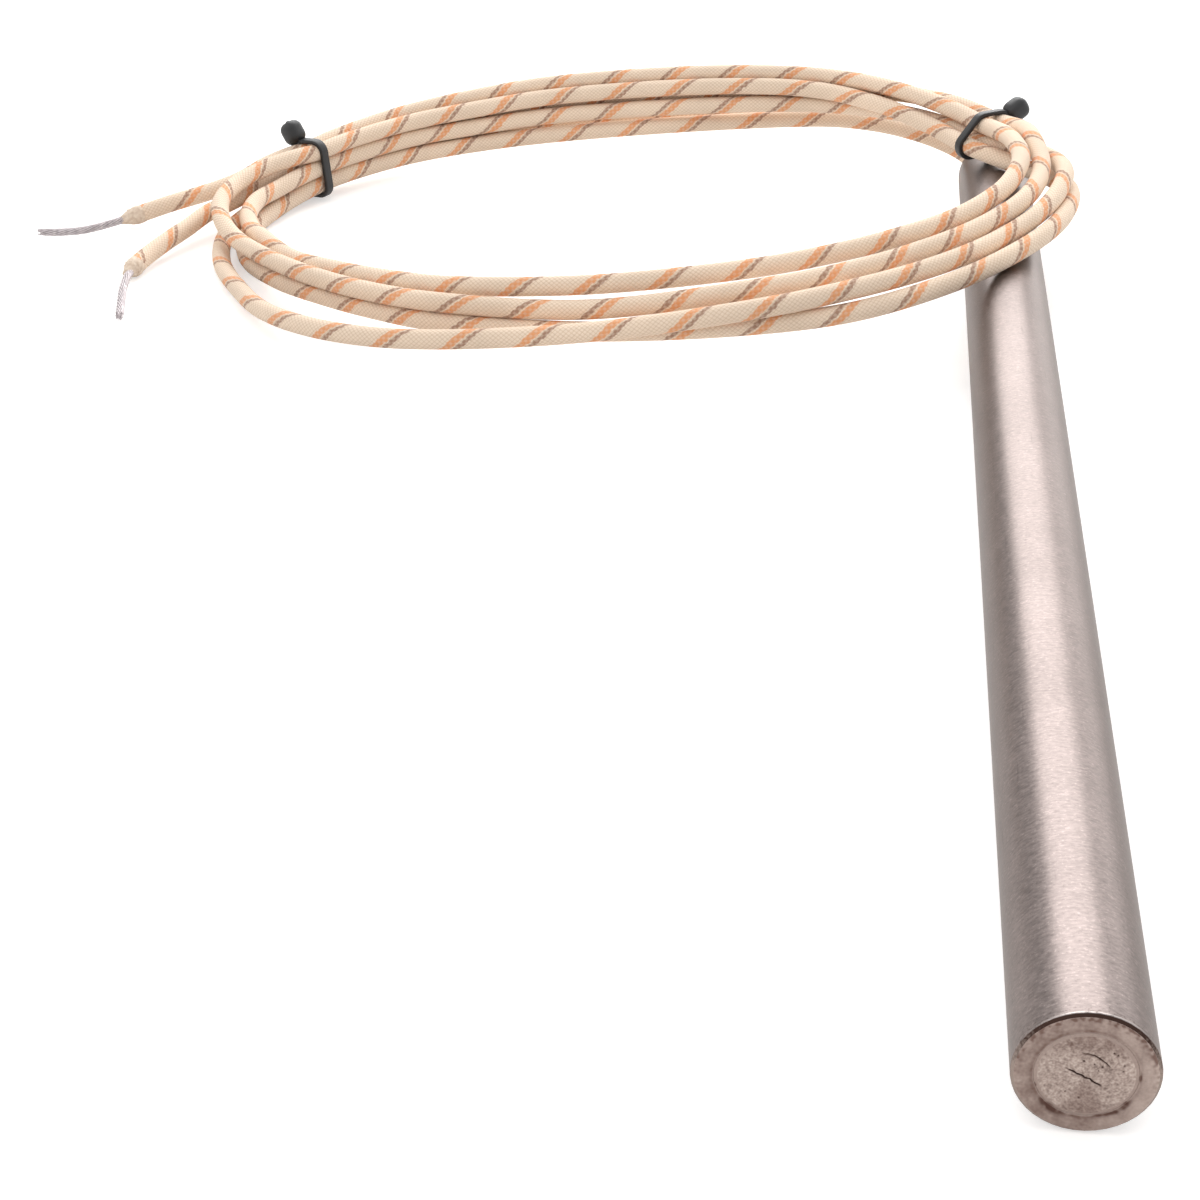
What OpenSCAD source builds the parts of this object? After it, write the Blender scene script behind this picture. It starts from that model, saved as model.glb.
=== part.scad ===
// Cartridge heater: a sheathed, ceramic-cored heating rod with two braided leads
// wound into one coil. Millimetres, +Z up. The heater lies along Y with its closed
// end towards -Y, and the origin is under its middle, on the surface it lies on.

/* [Heater body] */
// Outside diameter of the sheath
heater_d = 12.7; // [12.2:0.1:14]
// Length of the heater from end to end
heater_len = 254; // [220:1:300]
// Wall of the sheath tube
sheath_wall = 0.9; // [0.7:0.05:1]
// Chamfer on both outer edges of the sheath
rim_chamfer = 0.4; // [0.2:0.05:0.5]

/* [Closed end] */
// Thickness of the end disc
disc_t = 3.2; // [2.5:0.1:5]
// Radius of the raised middle of the end disc
boss_r = 4.2; // [3.6:0.1:4.5]
// Width of the fine groove round the raised middle
groove_w = 0.16; // [0.1:0.02:0.3]
// Depth of that groove
groove_depth = 0.25; // [0.15:0.05:0.5]
// Depth of the weld that closes the end
weld_depth = 1.2; // [0.8:0.1:2]
// Flat lip of the sheath left outside the weld
weld_lip = 0.1; // [0.05:0.05:0.15]
// How far the weld lies below the end face
weld_sink = 0.12; // [0.05:0.01:0.2]

/* [Wound core] */
// Diameter of the ceramic cores
core_d = 7; // [6.6:0.1:7.2]
// Diameter of the resistance wire
wire_d = 0.7; // [0.4:0.05:0.8]
// Distance from turn to turn of the winding
wire_pitch = 5; // [4:0.1:8]
// Thickness of the ceramic spacer at the closed end
spacer_t = 5; // [4.5:0.5:8]
// Depth of the recess where each end of the wire meets its pin
recess_depth = 1.4; // [1.2:0.1:2]
// How deep the return pin is seated in the spacer
pin_seat = 1.5; // [1:0.1:2]

/* [Pins and crimps] */
// Diameter of the two power pins
pin_d = 1.6; // [1.2:0.1:1.8]
// Distance between the two pins, and between the two leads
pin_spacing = 4; // [3.8:0.1:4.4]
// Length of the feed pin that the last core holds
feed_grip = 14; // [8:1:20]
// Outside diameter of a crimp barrel
crimp_d = 2.8; // [2.5:0.1:3.2]
// Length of a crimp barrel
crimp_len = 12; // [9:0.5:13]
// Depth of the two rings that the crimping tool presses in
crimp_dent = 0.2; // [0.1:0.05:0.25]

/* [Lead end] */
// Length of the ceramic insulator round the crimps
insulator_len = 18; // [16:0.5:24]
// Length of the ceramic bushing round the leads
bushing_len = 18; // [10:0.5:30]
// Thickness of the cement seal
seal_t = 4; // [2:0.5:8]
// How far the seal lies inside the end of the sheath
seal_sink = 0.5; // [0.2:0.1:1]

/* [Leads] */
// Diameter of a lead over its braid
lead_d = 3.1; // [2.4:0.1:3.4]
// Diameter of the stranded conductor
conductor_d = 1.2; // [0.8:0.1:1.5]
// Distance from the heater's axis to the far side of the coil, at the middle of the bundle
coil_left = 131; // [127:1:140]
// Radius of the coil's two round ends
coil_end_r = 56; // [52:1:58]
// Length of the coil's two straight sides
coil_straight = 22; // [14:1:28]
// Distance from the lead end back to the middle of the coil
coil_back = 35; // [30:1:42]
// Width of the bundle of turns
bundle_w = 8; // [7:0.2:9]
// Height of the bundle of turns
bundle_h = 9.6; // [9.2:0.2:11]

/* [Cable ties] */
// Width of the strap
tie_w = 2.2; // [1.8:0.1:3.2]
// Thickness of the strap
tie_t = 0.8; // [0.7:0.1:1.2]
// Side of the tie's square head
head_w = 4.4; // [4:0.1:5.5]
// Height of the head over the strap
head_h = 3.4; // [2.5:0.1:4.5]
// Round on the head's upright edges
head_round = 1.2; // [0.5:0.1:1.8]
// Place of the tie over the heater, as an angle on the coil's right end
tie_right_angle = 27; // [22:1:32]
// Place of the tie beside the tails, as an angle on the coil's left end
tie_left_angle = 153; // [148:1:156]
// Lean of each head from upright towards the outside of the coil
head_lean = 40; // [25:1:50]

/* [Clearances] */
// Gap between round pieces that slide together
fit_gap = 0.05; // [0.02:0.01:0.1]
// Gap on each side of the weld
weld_gap = 0.02; // [0.01:0.01:0.05]
// Gap between a lead and the hole it passes through
lead_gap = 0.1; // [0.05:0.05:0.2]
// Gap between a strap and the bundle
tie_gap = 0.15; // [0.1:0.05:0.3]
// Gap between the strap over the heater and the sheath
heater_gap = 0.7; // [0.65:0.05:0.9]
// Gap under the strap beside the tails
floor_gap = 0.1; // [0.1:0.05:0.3]

/* [Hidden] */
$fn = 96;

// Cuts run past the face they open by this much
past = 1;

// Radii of the heater, from the sheath inwards
heater_r = heater_d / 2;
sheath_ir = heater_r - sheath_wall;
inner_r = sheath_ir - fit_gap;
weld_or = heater_r - rim_chamfer - weld_lip;
weld_ir = boss_r + groove_w;
wire_steps = 12;
turn_r = (core_d / 2 + fit_gap) / cos(180 / wire_steps) + wire_d / 2;
fill_ir = turn_r + wire_d / 2 + fit_gap;
pin_x = pin_spacing / 2;

// Places along the heater, from the closed end
core_count = 6;
core_s = disc_t + spacer_t;
seal_s = heater_len - seal_sink - seal_t;
bushing_s = seal_s - bushing_len;
insulator_s = bushing_s - insulator_len;
core_len = (insulator_s - core_s) / core_count;
crimp_lead_in = 0.5;
crimp_s = insulator_s + recess_depth + crimp_lead_in;
crimp_mid_s = crimp_s + crimp_len / 2;
crimp_stop = 0.3;

// The winding joins the return pin in the spacer and the feed pin in the insulator
wire_sides = 4;
wire_start_s = core_s - recess_depth / 2;
wire_end_s = insulator_s + recess_depth / 2;
join_r = pin_x + pin_d / 2 + fit_gap + wire_d / 2;
join_turn = 0.5;
wire_turns = floor((wire_end_s - wire_start_s) / wire_pitch) + 2 * join_turn + 0.5;

// The coil lies on the heater at its right and on its own tie at its left
lead_end_y = heater_len / 2;
end_x = coil_straight / 2;
coil_x = end_x + coil_end_r - coil_left;
coil_y = lead_end_y - coil_back;
tie_left_x = coil_x - end_x + coil_end_r * cos(tie_left_angle);
strap_room = tie_t + tie_gap;
coil_tilt = atan((heater_d + heater_gap - floor_gap) / -tie_left_x);
bundle_low_z = floor_gap + strap_room + bundle_w / 2;
coil_z = bundle_low_z + (coil_x - tie_left_x) * tan(coil_tilt);
bundle_rise = (bundle_h - bundle_w) / 2;

// Routes of the free ends of the two leads: across, along from the lead end, and up
lead_sides = 8;
inside = -seal_sink - seal_t - bushing_len;
exit_a_route = [
    [-pin_x, inside, heater_r], [-pin_x, -seal_sink, heater_r], [-pin_x, 3, heater_r],
    [-3, 7, 6.6], [-6, 13, 7.2], [-12, 19, 8.2], [-20, 23, 9.6], [-29, 25.2, 11],
    [-38, 26.4, 12.2], [-48, 26.9, 13]
];
exit_b_route = [
    [pin_x, inside, heater_r], [pin_x, -seal_sink, heater_r], [pin_x, 3, heater_r],
    [1.6, 8, 6.6], [-1.5, 15, 7.2], [-8, 22, 8], [-17, 26.8, 9], [-27, 29.4, 10],
    [-37, 30.5, 10.8], [-47, 30.9, 11.3], [-56, 29.6, 11.5], [-64, 27, 11.5]
];
tail_a_route = [
    [-135.5, -22, 4.6], [-137.8, -28, 4], [-140.5, -35, 3.2], [-143, -43, 2.6],
    [-145, -50, 2.1], [-146, -56, 1.8]
];
tail_b_route = [
    [-132, -10.8, 5.8], [-136, -16, 5.6], [-141, -20.5, 4.7], [-147.5, -25, 3.4], [-154, -30, 2.2]
];
bare_a_route = [
    [-146, -56, 1.8], [-146.5, -59, 1.65], [-145.3, -64.5, 1.2], [-143.2, -71, 0.9],
    [-141.3, -76.5, 0.8]
];
bare_b_route = [
    [-154, -30, 2.2], [-157.25, -32.5, 1.6], [-161.5, -35.5, 1.1], [-166, -36.7, 0.9], [-169, -37, 0.9]
];

// Colours of the materials
steel = [0.62, 0.59, 0.58];
weld_steel = [0.60, 0.55, 0.51];
ceramic = [0.90, 0.88, 0.83];
powder = [0.86, 0.85, 0.82];
nickel = [0.68, 0.66, 0.62];
heating_alloy = [0.45, 0.43, 0.42];
cement = [0.78, 0.74, 0.68];
braid = [0.92, 0.84, 0.72];
wire = [0.70, 0.67, 0.66];
nylon = [0.08, 0.08, 0.09];

// Radius of the bevels on both sides of the weld, at a distance from the closed end
function sheath_bevel_r(s) = weld_or + (sheath_ir - weld_or) * s / weld_depth;
function disc_bevel_r(s) = weld_ir + (inner_r - weld_ir) * (s - groove_depth) / weld_depth;

// Swept tubes
function unit(v) = v / norm(v);
function heading(route, i) = unit(route[min(i + 1, len(route) - 1)] - route[max(i - 1, 0)]);
function ring(centre, along, r, sides) =
    let (side = unit(cross([0, 0, 1], along)), up = cross(along, side))
    [for (k = [0 : sides - 1]) centre + r * (cos(360 * k / sides) * side + sin(360 * k / sides) * up)];

// A closed tube round a route of points, with flat ends
module tube(route, r, sides) {
    last = len(route) - 1;
    points = [for (i = [0 : last]) each ring(route[i], heading(route, i), r, sides)];
    walls = [for (i = [0 : last - 1], k = [0 : sides - 1])
        let (next = (k + 1) % sides, here = i * sides, there = here + sides)
        each [[here + k, there + k, there + next], [here + k, there + next, here + next]]];
    start = [for (k = [0 : sides - 1]) k];
    finish = [for (k = [sides - 1 : -1 : 0]) last * sides + k];
    polyhedron(points = points, faces = concat([start, finish], walls), convexity = 10);
}

// Point of the winding's middle line after a number of turns from the return pin
function ease(t) = t * t * (3 - 2 * t);
function wire_point(turn) =
    let (
        inward = min(1, turn / join_turn, (wire_turns - turn) / join_turn),
        r = join_r + (turn_r - join_r) * ease(inward),
        share = min(1, max(0, (turn - join_turn) / (wire_turns - 2 * join_turn)))
    )
    [r * cos(360 * turn), r * sin(360 * turn), wire_start_s + (wire_end_s - wire_start_s) * share];

// Stands children, built up from z = 0, on the heater's axis at a distance from the closed end
module on_axis(s = 0) {
    translate([0, s - heater_len / 2, heater_r]) rotate([-90, 0, 0]) children();
}

// A straight round rod beside the axis
module rod(x, s, d, l) {
    on_axis(s) translate([x, 0, 0]) cylinder(d = d, h = l);
}

// A round plug that fills the sheath, with two holes for a pair of pins, crimps or leads
module twin_plug(l, hole_r) {
    difference() {
        cylinder(r = inner_r, h = l);
        for (x = [-pin_x, pin_x]) translate([x, 0, -past]) cylinder(r = hole_r, h = l + 2 * past);
    }
}

// Recess of a plug, sunk from z = 0, in which the wire turns in to its pin
module join_recess() {
    translate([0, 0, -past]) cylinder(r = fill_ir, h = recess_depth + past);
}

// Upright oblong with round ends
module oblong(w, h) {
    for (y = [-1, 1]) translate([0, y * (h - w) / 2]) circle(d = w);
    square([w, h - w], center = true);
}

// Stands children in the tilted plane of the coil, at its middle
module in_coil() {
    translate([coil_x, coil_y, coil_z]) rotate([0, -coil_tilt, 0]) translate([0, 0, bundle_rise]) children();
}

// Places children from the lead end
module at_lead_end() {
    translate([0, lead_end_y, 0]) children();
}

// A cable tie drawn round the bundle: the strap's closed loop and the head it was pulled through
module tie(side, angle) {
    loop_w = bundle_w + 2 * tie_gap;
    loop_h = bundle_h + 2 * tie_gap;
    sunk = tie_t / 2;
    in_coil() translate([side * end_x, 0, 0]) rotate([0, 0, angle]) translate([coil_end_r, 0, 0])
        rotate([90, 0, 0]) {
            linear_extrude(height = tie_w, center = true) difference() {
                oblong(loop_w + 2 * tie_t, loop_h + 2 * tie_t);
                oblong(loop_w, loop_h);
            }
            translate([0, bundle_rise, 0]) rotate([0, 0, -head_lean])
                translate([0, loop_w / 2 + tie_t - sunk, 0]) rotate([-90, 0, 0])
                    linear_extrude(height = head_h + sunk) tie_head_outline();
        }
}

// Square outline of a tie's head with rounded corners
module tie_head_outline() {
    flat = head_w - 2 * head_round;
    square([head_w, flat], center = true);
    square([flat, head_w], center = true);
    for (x = [-1, 1], y = [-1, 1]) translate([x * flat / 2, y * flat / 2]) circle(r = head_round);
}

// Seamless tube, ground on the outside, with its closed end bevelled inside for the weld
module sheath() {
    color(steel) on_axis() rotate_extrude() polygon([
        [sheath_ir, weld_depth], [weld_or, 0], [heater_r - rim_chamfer, 0], [heater_r, rim_chamfer],
        [heater_r, heater_len - rim_chamfer], [heater_r - rim_chamfer, heater_len], [sheath_ir, heater_len]
    ]);
}

// Turned disc that closes the end, with a raised middle, a fine groove and a bevelled rim
module end_disc() {
    color(weld_steel) on_axis() rotate_extrude() polygon([
        [0, 0], [boss_r, 0], [boss_r, groove_depth], [weld_ir, groove_depth],
        [inner_r, weld_depth + groove_depth], [inner_r, disc_t], [0, disc_t]
    ]);
}

// Ring of weld in the V between the disc's rim and the sheath
module end_weld() {
    color(weld_steel) on_axis() rotate_extrude() polygon([
        [weld_ir + weld_gap, weld_sink], [sheath_bevel_r(weld_sink) - weld_gap, weld_sink],
        [sheath_ir - weld_gap, weld_depth], [disc_bevel_r(weld_depth) + weld_gap, weld_depth],
        [weld_ir + weld_gap, groove_depth]
    ]);
}

// Ceramic spacer between the disc and the wound core
module end_spacer() {
    color(ceramic) on_axis(disc_t) difference() {
        cylinder(r = inner_r, h = spacer_t);
        translate([0, 0, spacer_t]) mirror([0, 0, 1]) join_recess();
        translate([pin_x, 0, spacer_t - recess_depth - pin_seat])
            cylinder(d = pin_d + 2 * fit_gap, h = spacer_t);
    }
}

// One extruded ceramic core with its two pin holes
module core(i) {
    color(ceramic) on_axis(core_s + (i - 1) * core_len) difference() {
        cylinder(d = core_d, h = core_len - fit_gap);
        for (x = [-pin_x, pin_x])
            translate([x, 0, -past]) cylinder(d = pin_d + 2 * fit_gap, h = core_len + 2 * past);
    }
}

// Resistance wire wound over all the cores, from the return pin to the feed pin
module winding() {
    steps = floor(wire_turns * wire_steps);
    color(heating_alloy) on_axis()
        tube([for (i = [0 : steps]) wire_point(i * wire_turns / steps)], wire_d / 2, wire_sides);
}

// Packed magnesia powder between the winding and the sheath
module powder_fill() {
    color(powder) on_axis(core_s) difference() {
        cylinder(r = inner_r, h = insulator_s - core_s);
        translate([0, 0, -past]) cylinder(r = fill_ir, h = insulator_s - core_s + 2 * past);
    }
}

// Short pin that feeds the winding at the lead end
module feed_pin() {
    color(nickel) rod(-pin_x, insulator_s - feed_grip, pin_d, crimp_mid_s - crimp_stop - insulator_s + feed_grip);
}

// Long pin that brings the current back through all the cores
module return_pin() {
    start_s = core_s - recess_depth - pin_seat;
    color(nickel) rod(pin_x, start_s, pin_d, crimp_mid_s - crimp_stop - start_s);
}

// Crimp barrel that joins a pin to a lead's conductor
module crimp(x) {
    color(nickel) on_axis(crimp_s) translate([x, 0, 0]) difference() {
        cylinder(d = crimp_d, h = crimp_len);
        translate([0, 0, -past]) cylinder(d = pin_d + 2 * fit_gap, h = crimp_len / 2 + past);
        translate([0, 0, crimp_len / 2 - past]) cylinder(d = conductor_d + 2 * fit_gap, h = crimp_len);
        for (z = [0.25, 0.75] * crimp_len)
            translate([0, 0, z]) rotate_extrude() translate([crimp_d / 2, 0]) circle(r = crimp_dent);
    }
}

// Ceramic insulator that keeps the two crimps apart
module crimp_insulator() {
    color(ceramic) on_axis(insulator_s) difference() {
        twin_plug(insulator_len, crimp_d / 2 + fit_gap);
        join_recess();
    }
}

// Stripped end of a lead's conductor, in its crimp
module conductor(x) {
    start_s = crimp_mid_s + crimp_stop;
    color(wire) rod(x, start_s, conductor_d, bushing_s - start_s);
}

// Ceramic bushing that guides the two leads
module lead_bushing() {
    color(ceramic) on_axis(bushing_s) twin_plug(bushing_len, lead_d / 2 + lead_gap);
}

// Cement that seals the lead end
module end_seal() {
    color(cement) on_axis(seal_s) twin_plug(seal_t, lead_d / 2 + lead_gap);
}

// Coil of both leads: the outer shape of its turns, two half rings and the sides between them
module lead_coil() {
    color(braid) in_coil() for (turn = [0, 180]) rotate([0, 0, turn]) {
        translate([end_x, 0, 0]) rotate([0, 0, -90]) rotate_extrude(angle = 180)
            translate([coil_end_r, 0]) oblong(bundle_w, bundle_h);
        translate([-end_x, coil_end_r, 0]) rotate([90, 0, 90]) linear_extrude(height = coil_straight)
            oblong(bundle_w, bundle_h);
    }
}

// A free stretch of a braided lead
module lead_run(route) {
    color(braid) at_lead_end() tube(route, lead_d / 2, lead_sides);
}

// A stripped lead end
module bare_end(route) {
    color(wire) at_lead_end() tube(route, conductor_d / 2, lead_sides);
}

sheath();
end_disc();
end_weld();
end_spacer();
core(1);  // core_1
core(2);  // core_2
core(3);  // core_3
core(4);  // core_4
core(5);  // core_5
core(6);  // core_6
winding();
powder_fill();
feed_pin();
return_pin();
crimp(-pin_x);  // crimp_a
crimp(pin_x);  // crimp_b
crimp_insulator();
conductor(-pin_x);  // conductor_a
conductor(pin_x);  // conductor_b
lead_bushing();
end_seal();
lead_run(exit_a_route);  // lead_exit_a
lead_run(exit_b_route);  // lead_exit_b
lead_coil();
lead_run(tail_a_route);  // lead_tail_a
lead_run(tail_b_route);  // lead_tail_b
bare_end(bare_a_route);  // bare_end_a
bare_end(bare_b_route);  // bare_end_b
tie(1, tie_right_angle);  // tie_right
tie(-1, tie_left_angle);  // tie_left
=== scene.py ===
# %% [markdown]
# # A cartridge heater with its leads coiled up
# A cartridge heater is a steel rod that slides into a drilled hole in a mould or a heated plate.
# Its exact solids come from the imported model, and this lesson dresses them: the braided leads,
# the cable ties, the welded end and every finish are made here, in metres, in the same frame.
# The rod lies along Y with its closed end towards -Y, and Z is up.

# %% Load the solids
import math
import random
import bmesh
import bpy
from mathutils import Matrix, Vector, noise


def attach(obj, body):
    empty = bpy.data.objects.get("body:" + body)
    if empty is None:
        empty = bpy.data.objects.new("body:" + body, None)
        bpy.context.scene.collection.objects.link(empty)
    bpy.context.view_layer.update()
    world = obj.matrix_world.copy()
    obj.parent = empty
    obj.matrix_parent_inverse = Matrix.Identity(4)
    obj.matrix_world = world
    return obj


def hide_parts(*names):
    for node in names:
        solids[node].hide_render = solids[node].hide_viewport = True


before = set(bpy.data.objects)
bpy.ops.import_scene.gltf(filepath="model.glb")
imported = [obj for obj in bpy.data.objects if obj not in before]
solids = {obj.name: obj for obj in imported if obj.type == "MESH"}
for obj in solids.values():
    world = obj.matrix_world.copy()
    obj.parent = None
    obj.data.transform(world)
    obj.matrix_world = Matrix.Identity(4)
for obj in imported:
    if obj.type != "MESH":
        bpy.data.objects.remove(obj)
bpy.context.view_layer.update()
MM = 0.001

# %% [markdown]
# ## Camera
# The photograph was taken from low over the closed end, looking along the rod. Its place, tilt and
# focal length were worked out from the rod's two edges and the ellipse of its end face, so the
# numbers here are the result of that fit, for a square picture.

# %% Place the camera
PICTURE_SIDE = 1200
FOCAL_PIXELS = 2229.4
CAMERA_PLACE = (-22.40, -277.88, 129.47)
CAMERA_PITCH = 27.92
CAMERA_TURN = 7.114

camera_data = bpy.data.cameras.new("camera")
camera_data.sensor_fit = "HORIZONTAL"
camera_data.sensor_width = 36.0
camera_data.lens = camera_data.sensor_width * FOCAL_PIXELS / PICTURE_SIDE
camera_data.clip_start = 0.01
camera = bpy.data.objects.new("camera", camera_data)
camera.location = [v * MM for v in CAMERA_PLACE]
camera.rotation_euler = (math.radians(90 - CAMERA_PITCH), 0, math.radians(CAMERA_TURN))
bpy.context.scene.collection.objects.link(camera)
bpy.context.scene.camera = camera
print("lens:", round(camera_data.lens, 2), "mm")

# %% [markdown]
# ## Routes of the two leads
# Both leads leave the cement at the far end of the rod, bend round to the left and are wound
# twice round an oval coil, and a little more, before their tails stick out past a cable tie.
# A curve could be drawn by hand, but a coil is easier to keep tidy as a table: each row
# is an angle round the oval, how far out the lead lies there and how high above the slope from
# the table up to the rod. The free ends are plain points. All of them are in millimetres.

# %% List the points of each lead
COIL_Y = 92.0
OVAL_MIDDLE = -64.0
OVAL_HALF_STRAIGHT = 11.0
STRAIGHT_FROM = math.cos(math.radians(80))
ROD_D = 12.7
SLOPE_FOOT = -130.0

EXIT_A = [
    (-2, 104.5, 6.35), (-2, 116, 6.35), (-2, 126.5, 6.35), (-2, 130, 6.35), (-3, 134, 6.4), (-6, 140, 7),
    (-12, 146, 7.8), (-20, 150, 8.6), (-29, 151.6, 9), (-38, 151.4, 8.8)]
TURNS_A = [
    (88, 57, 0.8), (100, 55.8, 0.9), (115, 55.6, 1.3), (130, 55.6, 1.9), (145, 55.6, 2.3),
    (153, 55.6, 2.4), (166, 56, 2), (180, 56.4, 1.6), (195, 54.6, 1.6), (210, 51.5, 1.6),
    (225, 49.2, 1.6), (240, 49, 1.5), (255, 50.4, 1.2), (270, 53.5, 0.2), (285, 56, 0.2),
    (300, 58.6, 0.3), (315, 61, 1.2), (330, 62.4, 1.7), (345, 63.5, 1.5), (360, 63.9, 1.2),
    (370, 61.8, 0.5), (378, 57, 1.5), (382, 55, 2.1), (387, 53.2, 2.8), (400, 54, 3.6),
    (415, 54.6, 5.7), (430, 55.2, 7.4), (445, 55.7, 8.3), (460, 55.8, 8.4), (475, 55.6, 8.2),
    (490, 55.6, 8.4), (505, 55.6, 8.5), (513, 55.6, 8.6), (520, 57.4, 9), (526, 59.2, 8.7),
    (533, 60.9, 7.9), (540, 61, 7.2), (548, 59.1, 6.4), (555, 56.4, 5.5), (570, 51.9, 5),
    (585, 49.8, 4.8), (600, 49.6, 4.7), (615, 50.3, 4.4), (630, 52.3, 3.3), (645, 52.5, 4.6),
    (660, 52.7, 4.6), (675, 53.4, 4.6), (690, 55.4, 4.8), (705, 57.7, 5.2), (720, 58.9, 5.6),
    (732, 59.2, 6.9), (738, 59.8, 6.7), (747, 59.5, 5.9), (760, 59.5, 6.5), (775, 59.3, 6.7),
    (790, 59.1, 6.4), (805, 58.4, 6.5), (820, 58.4, 6.5), (835, 58.4, 6.4), (850, 58.6, 6.3),
    (865, 58.7, 5.8), (873, 58.8, 5.5), (880, 59.6, 5.4), (886, 60.4, 5.1), (893, 62.4, 4.5)]
TAIL_A = [
    (-139.6, 95, 4), (-141.6, 89, 3.2), (-143.8, 82, 2.6), (-145.3, 76, 2.1), (-146, 71, 1.8)]

EXIT_B = [
    (2, 104.5, 6.35), (2, 116, 6.35), (2, 126.5, 6.35), (2, 130, 6.35), (1.6, 135, 6.4), (-1.5, 142, 7),
    (-8, 149, 7.8), (-17, 153.6, 8.6), (-27, 155.8, 9), (-37, 156, 9.2), (-47, 155, 9)]
TURNS_B = [
    (100, 59.8, 2.6), (115, 58.3, 2.9), (130, 58.6, 3.1), (145, 58.8, 2.6), (153, 58.8, 2.4),
    (166, 59.6, 2), (180, 60.2, 1.6), (195, 59.1, 1.6), (210, 58.2, 1.6), (225, 59.3, 1.6),
    (240, 59.5, 1.6), (255, 59, 1.6), (270, 58.2, 1.8), (285, 57.6, 3.3), (300, 57.2, 3.4),
    (315, 57.6, 3.2), (330, 58.6, 3), (345, 61, 3.6), (360, 62.8, 4.4), (370, 61.5, 4.1),
    (378, 59.2, 3.6), (382, 58.15, 3.1), (387, 56.35, 2.8), (400, 57.1, 3.3), (415, 57.3, 3.8),
    (430, 56.5, 4.2), (445, 55.7, 4.6), (460, 55.7, 4.7), (475, 55.6, 4.7), (490, 55.6, 5.2),
    (505, 55.6, 5.4), (513, 55.6, 5.5), (520, 55.6, 5.6), (526, 56.2, 5.4), (533, 56.8, 5.4),
    (540, 56.2, 5.1), (548, 54.2, 5.1), (555, 52, 5.2), (570, 48.7, 4.7), (585, 46.2, 5.1),
    (600, 46.2, 5.7), (615, 46.7, 5.8), (630, 49.3, 6.2), (645, 47.5, 6.2), (660, 47.9, 6.2),
    (675, 49.3, 6.2), (690, 51.9, 6.3), (705, 54.1, 6.8), (720, 55.4, 7.2), (732, 55.8, 6.9),
    (738, 56.2, 6.5), (747, 56.35, 5.95), (760, 56.3, 7), (775, 56.6, 8.5), (790, 57.8, 9.3),
    (805, 58.2, 10.2), (820, 58.3, 10.3), (835, 58.3, 9.9), (850, 58.6, 9.5), (865, 58.8, 8.9),
    (873, 58.8, 8.6), (876, 60.3, 8.4), (880, 62, 7.6), (886, 64, 6.2)]
TAIL_B = [
    (-142, 104.6, 4.8), (-148, 101, 3.6), (-154, 97, 2.2)]
print("turns of lead a:", len(TURNS_A), "points, of lead b:", len(TURNS_B), "points")

# %% [markdown]
# ## From points to smooth lines
# A lead can't have a kink, so a smooth spline is laid through its points. Its knots are spaced by
# the square root of each distance, which keeps it from looping where points lie close together.
# It is then cut into even steps, so that the sweep has even faces.

# %% Smooth the routes
ROUTE_SPLITS = 16
LEAD_STEP = 1.2 * MM


def on_coil(angle, reach, rise):
    """A point of the coil in millimetres."""
    turn = math.radians(angle)
    lean = max(-1.0, min(1.0, math.cos(turn) / STRAIGHT_FROM))
    x = OVAL_MIDDLE + OVAL_HALF_STRAIGHT * lean + reach * math.cos(turn)
    slope = ROD_D * max(0.0, 1 - x / SLOPE_FOOT)
    return (x, COIL_Y + reach * math.sin(turn), slope + rise)


def smooth_route(points, step):
    """A smooth line through points in millimetres, as even steps in metres."""
    marks = [Vector(p) * MM for p in points]
    marks = [marks[0] * 2 - marks[1], *marks, marks[-1] * 2 - marks[-2]]
    fine = []
    for before, here, there, after in zip(marks, marks[1:], marks[2:], marks[3:]):
        knots = [0.0]
        for p, q in ((before, here), (here, there), (there, after)):
            knots.append(knots[-1] + math.sqrt((q - p).length))
        k0, k1, k2, k3 = knots
        for i in range(ROUTE_SPLITS):
            k = k1 + (k2 - k1) * i / ROUTE_SPLITS
            a = before.lerp(here, (k - k0) / (k1 - k0))
            b = here.lerp(there, (k - k1) / (k2 - k1))
            c = there.lerp(after, (k - k2) / (k3 - k2))
            d = a.lerp(b, (k - k0) / (k2 - k0))
            e = b.lerp(c, (k - k1) / (k3 - k1))
            fine.append(d.lerp(e, (k - k1) / (k2 - k1)))
    fine.append(marks[-2])
    total = sum((q - p).length for p, q in zip(fine, fine[1:]))
    count = max(2, round(total / step))
    even, walked, target = [fine[0]], 0.0, total / count
    for p, q in zip(fine, fine[1:]):
        piece = (q - p).length
        while piece > 0 and walked + piece >= target * len(even) and len(even) < count:
            even.append(p.lerp(q, (target * len(even) - walked) / piece))
        walked += piece
    even.append(fine[-1])
    return even, total


routes, lengths = {}, {}
for letter, leaving, turns, tail in (("a", EXIT_A, TURNS_A, TAIL_A), ("b", EXIT_B, TURNS_B, TAIL_B)):
    points = leaving + [on_coil(*row) for row in turns] + tail
    routes[letter], lengths[letter] = smooth_route(points, LEAD_STEP)
    print("lead", letter, "length", round(lengths[letter], 4), "m in", len(routes[letter]), "points")

# %% [markdown]
# ## Leads
# A lead is stranded wire in a sleeve of glass yarn, braided round it. A swept circle is all the
# shape it needs: a poly curve with a round bevel gives it, and turning that into a mesh leaves a
# UV map that runs along the lead and round it, which the braid's pattern will follow.

# %% Sweep the leads
LEAD_D = 3.1 * MM
LEAD_SIDES = 16
MERGE_DISTANCE = 1e-7


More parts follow.
